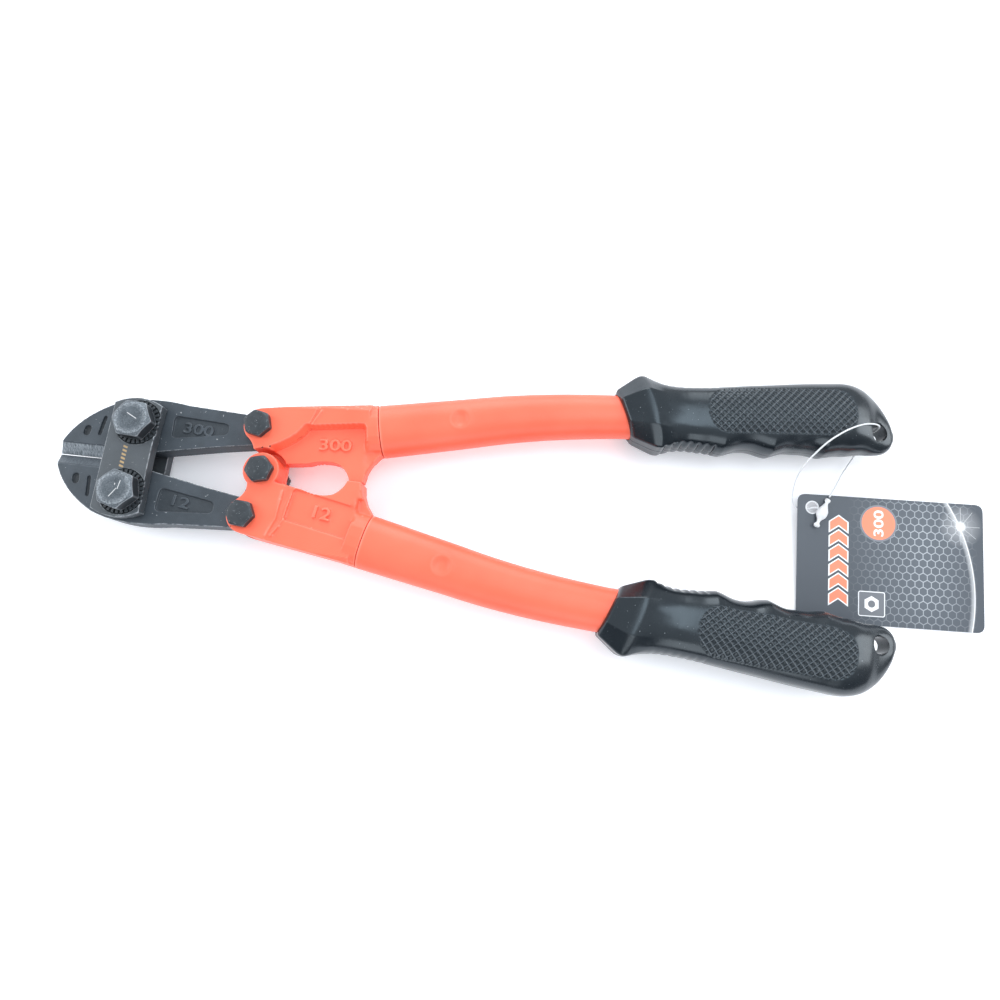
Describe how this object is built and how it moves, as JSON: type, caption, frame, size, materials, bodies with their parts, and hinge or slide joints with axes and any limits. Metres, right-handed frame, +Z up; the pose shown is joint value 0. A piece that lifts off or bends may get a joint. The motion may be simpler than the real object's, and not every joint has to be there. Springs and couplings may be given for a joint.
{
  "type": "bolt cutters",
  "caption": "Compact bolt cutters: toggle-linked jaws between strap plates, tubular steel handles with moulded grips and hang holes, and a card tag on a nylon loop.",
  "frame": {"origin": "under the centre of the closed tool's bounding box, on the surface that it lies on", "axes": "+X along the tool from the jaw tips to the grips, +Y across the tool to the upper handle, +Z up, away from the surface"},
  "size_m": [0.3434, 0.1116, 0.0249],
  "materials": {
    "phosphate_steel": "dark grey phosphate coating, satin, bare steel on worn edges",
    "worn_bolt_steel": "dark steel with scuffed, lighter faces",
    "black_bolt_steel": "black oxide, satin",
    "orange_paint": "bright orange powder coat, semi-gloss",
    "black_vinyl": "glossy moulded vinyl",
    "printed_card": "laminated printed card",
    "nylon": "clear white nylon"
  },
  "bodies": {
    "head": {"strap_plate_top": "phosphate_steel", "strap_plate_bottom": "phosphate_steel", "upper_adjuster_bolt": "worn_bolt_steel", "lower_adjuster_bolt": "worn_bolt_steel", "upper_toothed_washer": "black_bolt_steel", "lower_toothed_washer": "black_bolt_steel", "upper_adjuster_nut": "black_bolt_steel", "lower_adjuster_nut": "black_bolt_steel"},
    "upper_jaw_body": {"upper_jaw": "phosphate_steel"},
    "lower_jaw_body": {"lower_jaw": "phosphate_steel"},
    "upper_handle": {"upper_casting": "orange_paint", "upper_tube": "orange_paint", "upper_grip": "black_vinyl", "upper_link_bolt": "black_bolt_steel", "upper_link_nut": "black_bolt_steel", "hang_tag": "printed_card", "tag_loop": "nylon", "tag_lock": "nylon"},
    "lower_handle": {"lower_casting": "orange_paint", "lower_tube": "orange_paint", "lower_grip": "black_vinyl", "lower_link_bolt": "black_bolt_steel", "lower_link_nut": "black_bolt_steel", "centre_bolt": "black_bolt_steel", "centre_nut": "black_bolt_steel"}
  },
  "joints": [
    {"name": "upper_jaw_pivot", "type": "hinge", "parent": "head", "child": "upper_jaw_body", "pos_m": [-0.1215, 0.013, 0.0115], "axis": [0, 0, -1], "range_deg": [0, 7.98]},
    {"name": "lower_jaw_pivot", "type": "hinge", "parent": "head", "child": "lower_jaw_body", "pos_m": [-0.1215, -0.013, 0.0115], "axis": [0, 0, 1], "range_deg": [0, 7.98]},
    {"name": "upper_handle_pivot", "type": "hinge", "parent": "upper_jaw_body", "child": "upper_handle", "pos_m": [-0.0769, 0.0167, 0.0115], "axis": [0, 0, 1], "range_deg": [0, 47.97]},
    {"name": "lower_handle_pivot", "type": "hinge", "parent": "lower_jaw_body", "child": "lower_handle", "pos_m": [-0.0769, -0.0167, 0.0115], "axis": [0, 0, -1], "range_deg": [0, 47.98]}
  ],
  "couplings": [
    {"joint": "upper_jaw_pivot", "follows": "upper_handle_pivot", "ratio": 0.16614},
    {"joint": "lower_jaw_pivot", "follows": "upper_handle_pivot", "ratio": 0.16614},
    {"joint": "lower_handle_pivot", "follows": "upper_handle_pivot", "ratio": 1}
  ]
}
